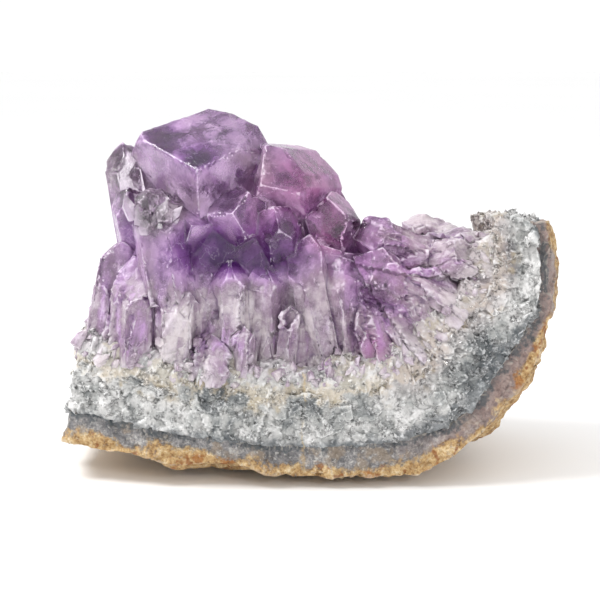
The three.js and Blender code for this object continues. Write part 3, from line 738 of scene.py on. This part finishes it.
def amethyst_finish(look, name, clear_bias):
    """Clear violet quartz with milky veils: a glassy and a milky shader mixed by how clear it is.
    Veils and fibres run along the crystals, which grew straight in from the wall."""
    f = Finish(name)
    names = ("violet", "clear", "pink", "ridge", "rise", "broken")
    violet, clear, pink, ridge, rise, broken = (f.kept(name) for name in names)
    grown = f.grown_place(rise, 0.14)
    veil = f.cloud(4.5, 5.0, 0.55)
    wisps = f.cloud(0.8, 5.0, 0.7)
    plane = f.facets(6.0)
    fibre = f.cloud(0.9, 5.0, 0.7, grown)
    columns = f.cloud(3.2, 3.0, place=grown)
    shatter = f.facets(2.2)
    splinter = f.facets(1.1, place=grown)
    tone = violet + (veil - 0.5) * 0.6 + (wisps - 0.5) * 0.16 + plane * 0.05
    splits = (fibre - 0.5) * 0.5 + (columns - 0.5) * 1.0 + shatter * 0.10 + splinter * 0.06
    tone = tone + splits * broken
    milky = f.ramp(tone, [
        (0.0, (0.56, 0.50, 0.52)), (0.16, (0.36, 0.29, 0.345)), (0.30, (0.27, 0.185, 0.265)),
        (0.48, (0.45, 0.28, 0.50)), (0.70, (0.20, 0.075, 0.27)), (1.0, (0.04, 0.003, 0.075))])
    milky = f.blend(pink * 0.85, milky, (0.40, 0.12, 0.30))
    mist = f.cloud(4.0, 7.0, 0.75)
    fog = f.between(mist + (fibre - 0.5) * broken * 0.6 - violet * 0.25, 0.42, 0.65)
    milky = f.blend(fog * 0.45, milky, (0.66, 0.60, 0.66))
    vein = f.vein(5.0, 0.012) + f.vein(2.6, 0.010) * broken
    milky = f.blend(vein * 0.4, milky, (0.86, 0.80, 0.88))
    # Whiter on the ridges: a painted highlight.
    painted_ridge_light = f.between(ridge + (wisps - 0.5) * 0.8, 0.15, 0.45)
    milky = f.blend(painted_ridge_light * 0.48, milky, (0.76, 0.70, 0.77))
    # Darker in the hollows: painted shade.
    milky = f.blend(f.between(0 - ridge, 0.08, 0.45) * 0.5, milky, (0.13, 0.06, 0.18))
    tint = f.ramp(tone, [
        (0.0, (0.97, 0.95, 0.97)), (0.5, (0.96, 0.86, 0.96)), (1.0, (0.60, 0.36, 0.66))])
    tint = f.blend(pink * 0.6, tint, (0.92, 0.58, 0.80))
    relief = f.bump(veil * 0.4 + (wisps * 0.7 + fibre * 0.8) * (0.15 + 0.85 * broken), 0.14)
    relief = f.bump((shatter * 0.6 + splinter * 0.3) * broken, 0.6, relief)
    cloudy = f.surface(
        Base_Color=milky, Roughness=0.14 + 0.35 * wisps, Normal=relief, Subsurface_Weight=0.4,
        Subsurface_Radius=(1.0, 0.9, 1.0), Subsurface_Scale=0.0015)
    glassy = f.surface(
        Base_Color=tint, Roughness=0.02 + 0.14 * wisps, Normal=relief, Transmission_Weight=1.0,
        IOR=QUARTZ_IOR)
    seen_through = clear + (veil - 0.5) * 0.9 + (wisps - 0.5) * 0.25 + plane * 0.08
    seen_through = seen_through - fog * 0.3 - (painted_ridge_light + vein) * 0.3 + clear_bias
    shader = f.mix(f.between(seen_through, 0.2, 0.8), cloudy, glassy)
    volume = f.node("ShaderNodeVolumeAbsorption", {}, {
        "Color": (*look.absorption, 1.0), "Density": look.absorption_density})
    return f.finish_with(shader, volume)


def floor_finish():
    """Nearly white and matt."""
    f = Finish("pale_floor")
    colour = f.ramp(f.cloud(400.0, 1.0), [(0.0, (0.93, 0.93, 0.93)), (1.0, (0.96, 0.96, 0.96))])
    return f.finish_with(f.surface(Base_Color=colour, Roughness=0.6))


def spot_sum(points, spots):
    """Adds up soft round patches on the front: each row is its middle x and z, its half width and
    half height in mm, and how strong it is in the middle."""
    total = np.zeros(len(points))
    for x, z, half_width, half_height, strength in spots:
        reach = ((points[:, 0] - x) / half_width) ** 2 + ((points[:, 2] - z) / half_height) ** 2
        total += strength * np.exp(-reach)
    return total


def broken_share(points, rise):
    """How rough the crystals are broken, 0 to 1: most near their foot and to the right."""
    right = smooth_step(points[:, 0], 4.0, 16.0)
    return np.clip(1 - smooth_step(rise, 8.0, 26.0) + 0.7 * right, 0.08, 1)


def store_crystal_shares(piece, painted_ridge_light):
    """Stores how violet, clear and pink the crystals are at each point, 0 to 1, and their place on
    the wall. They are pale and milky at the foot and to the right, violet and clear at the crown.
    The second share says how strongly their ridges turn white with a painted highlight, and their hollows
    dark with painted shade."""
    points, _ = mesh_arrays(piece.data)
    along, depth, _, bed, _ = wall_place(points)
    rise = depth - bed
    right = smooth_step(points[:, 0], 4.0, 30.0)
    violet = 0.08 + 0.20 * smooth_step(rise, 0.0, 8.0) + 0.22 * smooth_step(rise, 16.0, 26.0)
    violet += spot_sum(points, VIOLET_SPOTS) - 0.06 * right
    clear = 0.25 + 0.3 * smooth_step(rise, 2.0, 32.0) + spot_sum(points, CLEAR_SPOTS)
    store(piece, violet=np.clip(violet, 0, 1), clear=np.clip(clear, 0, 1),
          pink=np.clip(spot_sum(points, PINK_SPOTS), 0, 1), broken=broken_share(points, rise),
          ridge=ridge_share(piece.data) * painted_ridge_light, along=along, rise=rise)


def store_quartz_shares(piece):
    """Stores the place in the grey quartz at each point, how dark its patch is and how far the dark
    band reaches in there."""
    points, _ = mesh_arrays(piece.data)
    along, depth, _, bed, _ = wall_place(points)
    widening = smooth_step(points[:, 0], 6.0, 24.0) * (1 - smooth_step(points[:, 2], 24.0, 32.0))
    store(piece, depth=depth, share=depth / bed, along=along, dark=spot_sum(points, DARK_SPOTS),
          band=BAND_WIDTH + BAND_WIDENING * widening, ridge=ridge_share(piece.data))


def place_piece(piece, material, node=None):
    """Gives the piece its material, puts it on the body and hides the CAD part that it stands for, if one is
    given.
    """
    piece.data.materials.append(material)
    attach(piece, BODY)
    if node:
        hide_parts(node)


def clip_to_box(points):
    """Keeps points in mm inside the model's box."""
    return np.clip(points, np.array(CAD_BOX[0]) / MM, np.array(CAD_BOX[1]) / MM)


def growth_ways(points):
    """The way in which crystals grow from each place in mm: towards the middle of the hollow."""
    way = GROWTH_CENTRE - points
    way[:, 1] *= 0.2
    return unit(way)


class ClusterLook(bpy.types.PropertyGroup):
    """Sizes and colours that a user would change."""

    rock_edge: bpy.props.FloatProperty(
        name="Rock grain", description="Longest mesh edge on the rock, in mm", default=0.6, min=0.2)
    quartz_edge: bpy.props.FloatProperty(
        name="Quartz grain", description="Longest mesh edge on the grey quartz, in mm", default=0.5, min=0.2)
    crystal_edge: bpy.props.FloatProperty(
        name="Crystal grain", description="Longest mesh edge on the crystals, in mm", default=0.78, min=0.3)
    grain_count: bpy.props.IntProperty(
        name="Sugar grains", description="Grains that stand out of the grey quartz", default=6000, min=0)
    needle_count: bpy.props.IntProperty(
        name="Needles", description="Small points at the foot of the columns", default=1500, min=0)
    absorption: bpy.props.FloatVectorProperty(
        name="Violet", description="Colour that the clear quartz lets through", subtype="COLOR",
        size=3, default=(0.74, 0.44, 0.80), min=0.0, max=1.0)
    absorption_density: bpy.props.FloatProperty(
        name="Depth of colour", description="How fast the clear quartz takes up light, per metre",
        default=24.0, min=0.0)
    light_power: bpy.props.FloatProperty(
        name="Studio light", description="Power of the large soft light", default=1.5, min=0.0, unit="POWER")


def look_of(context):
    """The values that the user has set."""
    return context.scene.cluster_look


class AMETHYST_OT_rock(bpy.types.Operator):
    """Make the weathered rock skin: the solid's faces divided, then pushed out by lumps and chips"""

    bl_idname = "amethyst.rock"
    bl_label = "Rock skin"

    def execute(self, context):
        piece = finer_copy("rind", "rock_skin", self.edge_size, look_of(context).rock_edge)
        points, normals = mesh_arrays(piece.data)
        _, depth, rock, _, ways = wall_place(points)
        skin = np.clip(-depth / rock, 0, 1.3)
        outer = smooth_step(skin, 0.35, 0.8)
        rough = relief(lumps, points, ROCK_LUMPS, ROCK_SEED) + relief(chips, points, ROCK_CHIPS, ROCK_SEED)
        offset = outer * rough + (1 - outer) * relief(chips, points, ROCK_BREAKS, ROCK_SEED)
        offset *= smooth_step(points[:, 2], 0.0, 1.2)
        reach = ROCK_JOINT * smooth_step(depth, -0.6, -0.1)
        push_points(piece, points, normals * offset[:, None] + ways * reach[:, None])
        store(piece, skin=skin, rust=spot_sum(points, RUST_SPOTS), depth=depth,
              ridge=ridge_share(piece.data))
        soften(piece, SHARP_ANGLE)
        place_piece(piece, rock_finish(), "rind")
        return {"FINISHED"}

    @staticmethod
    def edge_size(points, finest):
        """Coarse on the joint with the grey quartz, which is hidden."""
        _, depth, *_ = wall_place(points)
        x, y, _ = points.T
        seen = (depth < -0.4) | (y < -17) | (y > 15) | (np.abs(x) > 36)
        return np.where(seen, finest, UNSEEN_EDGE)


class AMETHYST_OT_quartz(bpy.types.Operator):
    """Make the grey quartz bed: the solid's broken faces divided and broken into small facets"""

    bl_idname = "amethyst.quartz"
    bl_label = "Grey quartz"

    def execute(self, context):
        piece = finer_copy("quartz_bed", "sugary_quartz", self.edge_size, look_of(context).quartz_edge)
        points, normals = mesh_arrays(piece.data)
        _, depth, *_ = wall_place(points)
        height = relief(chips, points, QUARTZ_CHIPS, QUARTZ_SEED)
        height += relief(lumps, points, QUARTZ_LUMPS, QUARTZ_SEED)
        height *= 0.25 + 0.75 * smooth_step(depth, -0.1, 0.8)
        push_points(piece, points, normals * height[:, None])
        store_quartz_shares(piece)
        soften(piece, SHARP_ANGLE)
        place_piece(piece, quartz_finish(), "quartz_bed")
        return {"FINISHED"}

    @staticmethod
    def edge_size(points, finest):
        """Coarse on the joints with the rock and the crystals, which are hidden."""
        _, depth, _, bed, _ = wall_place(points)
        x, y, _ = points.T
        inner = (np.abs(depth) < 0.6) & (y > -18) & (y < 16) & (x < 34)
        top = (depth > bed - 2.2) & (y > -16) & (y < 14) & (np.abs(x) < 26)
        return np.where(inner | top, UNSEEN_EDGE, finest)


class AMETHYST_OT_crystals(bpy.types.Operator):
    """Make the amethyst: the joined crystals divided, broken at the foot, nearly flat at the crown"""

    bl_idname = "amethyst.crystals"
    bl_label = "Amethyst crystals"

    def execute(self, context):
        look = look_of(context)
        piece = finer_copy("amethyst_crystals", "amethyst_mass", self.edge_size, look.crystal_edge)
        points, normals = mesh_arrays(piece.data)
        along, depth, _, bed, ways = wall_place(points)
        rise = depth - bed
        right = smooth_step(points[:, 0], 4.0, 16.0)
        side = smooth_step(np.abs(normals[:, 1]), 0.3, 0.8)
        grown = np.column_stack([along, points[:, 1], rise * 0.35])
        places = (grown, grown, points, points, points)
        columns, fibres, splits, crumbs, nicks = (
            relief(chips, place, [row], CRYSTAL_SEED) for place, row in zip(places, CRYSTAL_CHIPS))
        height = side * columns + fibres + right * side * splits + crumbs
        nicks = smooth_step(ridge_share(piece.data), 0.04, 0.16) * smooth_step(nicks, 0.05, 0.5)
        calm = relief(lumps, points, FACE_LUMPS, CRYSTAL_SEED) - NICK_DEPTH * nicks
        offset = broken_share(points, rise) * (height - 0.1) + calm
        reach = CRYSTAL_JOINT * (1 - smooth_step(rise, 0.4, 1.6))
        push_points(piece, points, normals * offset[:, None] - ways * reach[:, None])
        store_crystal_shares(piece, 1.0)
        soften(piece, SHARP_ANGLE)
        place_piece(piece, amethyst_finish(look, "amethyst", 0.0), "amethyst_crystals")
        return {"FINISHED"}

    @staticmethod
    def edge_size(points, finest):
        """Coarser behind, and coarsest inside near the foot, where nothing is seen."""
        _, depth, _, bed, _ = wall_place(points)
        y = points[:, 1]
        hidden = (y > -8) & (y < 4) & (depth - bed < 14)
        behind = np.where(y > 2, 1.3 * finest, finest)
        return np.where(hidden, 2 * finest, behind)


class AMETHYST_OT_rim(bpy.types.Operator):
    """Make the granular rim round the foot of the columns: an oval profile carried round the wall"""

    bl_idname = "amethyst.rim"
    bl_label = "Granular rim"

    def execute(self, context):
        u, v, side = self.path()
        stations = len(u)
        turn = np.arange(RIM_ROUND) * 2 * np.pi / RIM_ROUND
        wave = RIM_WAVE * (0.5 + 0.5 * lumps(wall_surface(u, v, 0 * u)[0], 5.0, RIM_SEED))
        lift = RIM_LEFT_LIFT * (1 - smooth_step(u, 0.0, 0.04)) * arch(v)
        rise = RIM_MIDDLE[1] + lift[:, None] + (RIM_SIZE[1] + (wave + lift)[:, None]) * np.sin(turn)
        out = RIM_MIDDLE[0] + RIM_SIZE[0] * np.cos(turn) * np.ones((stations, 1))
        points, ahead = wall_surface(np.repeat(u, RIM_ROUND), np.repeat(v, RIM_ROUND), rise.ravel())
        side = np.repeat(side, RIM_ROUND, axis=0)
        points += out.reshape(-1, 1) * (side[:, :1] * ahead + side[:, 1:] * np.array([[0.0, 1.0, 0.0]]))
        i, k = np.meshgrid(np.arange(stations), np.arange(RIM_ROUND), indexing="ij")
        i_next, k_next = (i + 1) % stations, (k + 1) % RIM_ROUND
        corners = [row * RIM_ROUND + column for row, column in (
            (i, k), (i_next, k), (i_next, k_next), (i, k_next))]
        piece = new_piece("granular_rim", points, np.stack(corners, axis=-1).reshape(-1, 4).tolist())
        points, normals = mesh_arrays(piece.data)
        height = relief(chips, points, RIM_CHIPS, RIM_SEED)
        push_points(piece, points, normals * height[:, None])
        store_quartz_shares(piece)
        soften(piece, SHARP_ANGLE)
        place_piece(piece, quartz_finish())
        return {"FINISHED"}

    @staticmethod
    def path():
        """Goes once round the edge of the wall. Returns u and v at each station, and the way out
        there as shares of the way along the wall and of +Y."""
        along = np.linspace(0, 1, RIM_ALONG, endpoint=False)
        across = np.linspace(0, 1, RIM_ACROSS, endpoint=False)
        front_end, back_end = RIM_ENDS
        right = front_end + (back_end - front_end) * across
        u = np.concatenate([front_end * along, right, back_end * (1 - along), np.zeros(RIM_ACROSS)])
        v = np.concatenate([np.zeros(RIM_ALONG), across, np.ones(RIM_ALONG), 1 - across])
        ways = np.array([(0.0, -1.0), (1.0, 0.0), (0.0, 1.0), (-1.0, 0.0)])
        return u, v, np.repeat(ways, [RIM_ALONG, RIM_ACROSS, RIM_ALONG, RIM_ACROSS], axis=0)


class AMETHYST_OT_grains(bpy.types.Operator):
    """Make the sugar grains: many small double pyramids, half sunk in the quartz and its rim"""

    bl_idname = "amethyst.grains"
    bl_label = "Sugar grains"

    def execute(self, context):
        look = look_of(context)
        random = np.random.default_rng(QUARTZ_SEED)
        material = sugar_finish()
        self.add("sugar_grains", "sugary_quartz", look.grain_count, self.on_quartz, material, random)
        self.add("foot_grains", "granular_rim", look.grain_count // 2, self.on_rim, material, random)
        return {"FINISHED"}

    def add(self, name, carrier, count, is_here, material, random):
        """Grains of random size, most of them small, on the faces that is_here picks."""
        spots, normals = surface_spots(bpy.data.objects[carrier], count, random, is_here)
        sizes = GRAIN_SIZE[0] + GRAIN_SIZE[1] * random.random(len(spots)) ** 3
        centres = spots - normals * sizes[:, None] * GRAIN_SUNK
        points, faces = grain_arrays(centres, sizes, random)
        piece = new_piece(name, clip_to_box(points), faces)
        store_quartz_shares(piece)
        place_piece(piece, material)

    @staticmethod
    def on_quartz(points, normals):
        """Its front, back and ends, above the dark line on the rock."""
        _, depth, *_ = wall_place(points)
        side = (np.abs(normals[:, 1]) > 0.35) | (points[:, 0] < -35) | (points[:, 2] > 40)
        return side & (depth > 0.8)

    @staticmethod
    def on_rim(points, normals):
        """The rim's outer side."""
        side = (np.abs(normals[:, 1]) > 0.3) | (points[:, 0] < -32) | (points[:, 0] > 26)
        return side & (np.abs(points[:, 1]) > 14)


class AMETHYST_OT_points(bpy.types.Operator):
    """Make the small crystals that stand round the foot of the columns"""

    bl_idname = "amethyst.points"
    bl_label = "Small crystals"

    def execute(self, context):
        look = look_of(context)
        random = np.random.default_rng(POINT_SEED)
        material = amethyst_finish(look, "pale_points", 0.1)
        for number, (carrier, share) in enumerate(NEEDLE_CARRIERS):
            self.add(f"foot_needles_{number}", carrier, int(look.needle_count * share), material, random)
        return {"FINISHED"}

    def add(self, name, carrier, count, material, random):
        """Points that lean between the growth way and straight out, with a share of them sunk in."""
        spots, normals = surface_spots(bpy.data.objects[carrier], count, random, self.needle_share)
        widths = NEEDLE_WIDTH[0] + NEEDLE_WIDTH[1] * random.random(len(spots)) ** 2
        lengths = widths * (NEEDLE_LENGTH[0] + NEEDLE_LENGTH[1] * random.random(len(spots)) ** 2)
        axes = growth_ways(spots) + NEEDLE_OUT * normals + NEEDLE_SPREAD * random.normal(size=spots.shape)
        axes = unit(axes)
        roots = spots - normals * widths[:, None] * 0.3 - axes * lengths[:, None] * NEEDLE_SUNK
        points, faces = crystal_arrays(roots, axes, lengths, widths, random)
        piece = new_piece(name, clip_to_box(points), faces)
        store_crystal_shares(piece, 0.15)
        place_piece(piece, material)

    @staticmethod
    def needle_share(points, normals):
        """How likely a small crystal is: most just above the grey quartz, on the outer faces."""
        _, depth, _, bed, _ = wall_place(points)
        rise = depth - bed
        foot = smooth_step(rise, 0.5, 2.0) * (1 - smooth_step(rise, 4.0, 9.0))
        outer = (np.abs(points[:, 1]) > 14) | (points[:, 0] < -32) | (points[:, 0] > 26)
        return (0.01 + foot) * outer * np.clip(0.2 + np.abs(normals[:, 1]), 0, 1)


class AMETHYST_OT_shards(bpy.types.Operator):
    """Make the clear broken plates under the crown's left edge, leaning on the columns behind"""

    bl_idname = "amethyst.shards"
    bl_label = "Clear shards"

    def execute(self, context):
        random = np.random.default_rng(SHARD_SEED)
        table = np.array(SHARDS)
        roots, axes = table[:, :3], table[:, 3:6]
        points, faces = crystal_arrays(roots, axes, table[:, 6], table[:, 7], random)
        piece = new_piece("clear_shards", clip_to_box(points), faces)
        store_crystal_shares(piece, 2.0)
        place_piece(piece, amethyst_finish(look_of(context), "clear_quartz", 0.18))
        return {"FINISHED"}


class AMETHYST_OT_stage(bpy.types.Operator):
    """Make the pale floor, the soft studio light and the camera at the photograph's angle"""

    bl_idname = "amethyst.stage"
    bl_label = "Stage"

    camera_height: bpy.props.FloatProperty(
        name="Height angle", description="Camera above the horizon, in degrees", default=10.0)

    def execute(self, context):
        self.add_floor()
        self.add_world()
        for name, place, size, share in LAMPS:
            self.add_light(name, place, size, look_of(context).light_power * share)
        self.add_camera(context)
        context.scene.view_settings.view_transform = "Standard"
        return {"FINISHED"}

    def add_floor(self):
        corners = FLOOR_REACH * np.array([(-1, -1, 0), (1, -1, 0), (1, 1, 0), (-1, 1, 0)])
        floor = new_piece("floor", corners, [(0, 1, 2, 3)])
        floor.data.materials.append(floor_finish())

    def add_world(self):
        world = bpy.data.worlds.new("white_studio")
        world.use_nodes = True
        sky = world.node_tree.nodes["Background"]
        sky.inputs["Color"].default_value = (1.0, 1.0, 1.0, 1.0)
        sky.inputs["Strength"].default_value = SKY_STRENGTH
        bpy.context.scene.world = world

    def add_light(self, name, place, size, power):
        lamp = bpy.data.lights.new(name, "AREA")
        lamp.shape = "DISK"
        lamp.size = size * MM
        lamp.energy = power
        holder = bpy.data.objects.new(name, lamp)
        holder.location = Vector(place) * MM
        aim = Vector(LAMP_AIM) * MM - holder.location
        holder.rotation_euler = aim.to_track_quat("-Z", "Y").to_euler()
        bpy.context.collection.objects.link(holder)

    def add_camera(self, context):
        lens = bpy.data.cameras.new("camera")
        lens.sensor_width = SENSOR
        lens.lens = CAMERA_FOCAL_PIXELS / IMAGE_SIDE * SENSOR
        lens.clip_start = 0.01
        camera = bpy.data.objects.new("camera", lens)
        height = np.radians(self.camera_height)
        target = Vector(CAMERA_TARGET) * MM
        camera.location = target + Vector((0.0, -np.cos(height), np.sin(height))) * CAMERA_DISTANCE * MM
        camera.rotation_euler = (target - camera.location).to_track_quat("-Z", "Y").to_euler()
        bpy.context.collection.objects.link(camera)
        context.scene.camera = camera


class AMETHYST_PT_panel(bpy.types.Panel):
    """Lists the steps that make the cluster"""

    bl_label = "Amethyst Cluster"
    bl_space_type = "VIEW_3D"
    bl_region_type = "UI"
    bl_category = "Amethyst"

    def draw(self, context):
        for step in STEPS:
            self.layout.operator(step.bl_idname)
        for name in ClusterLook.__annotations__:
            self.layout.prop(look_of(context), name)


STEPS = (AMETHYST_OT_rock, AMETHYST_OT_quartz, AMETHYST_OT_crystals, AMETHYST_OT_rim,
         AMETHYST_OT_grains, AMETHYST_OT_points, AMETHYST_OT_shards, AMETHYST_OT_stage)
CLASSES = (ClusterLook, *STEPS, AMETHYST_PT_panel)


def register():
    for item in CLASSES:
        bpy.utils.register_class(item)
    bpy.types.Scene.cluster_look = bpy.props.PointerProperty(type=ClusterLook)


def unregister():
    del bpy.types.Scene.cluster_look
    for item in reversed(CLASSES):
        bpy.utils.unregister_class(item)


def main():
    register()
    bpy.ops.amethyst.rock()
    bpy.ops.amethyst.quartz()
    bpy.ops.amethyst.crystals()
    bpy.ops.amethyst.rim()
    bpy.ops.amethyst.grains()
    bpy.ops.amethyst.points()
    bpy.ops.amethyst.shards()
    bpy.ops.amethyst.stage()


if __name__ == "__main__":
    main()
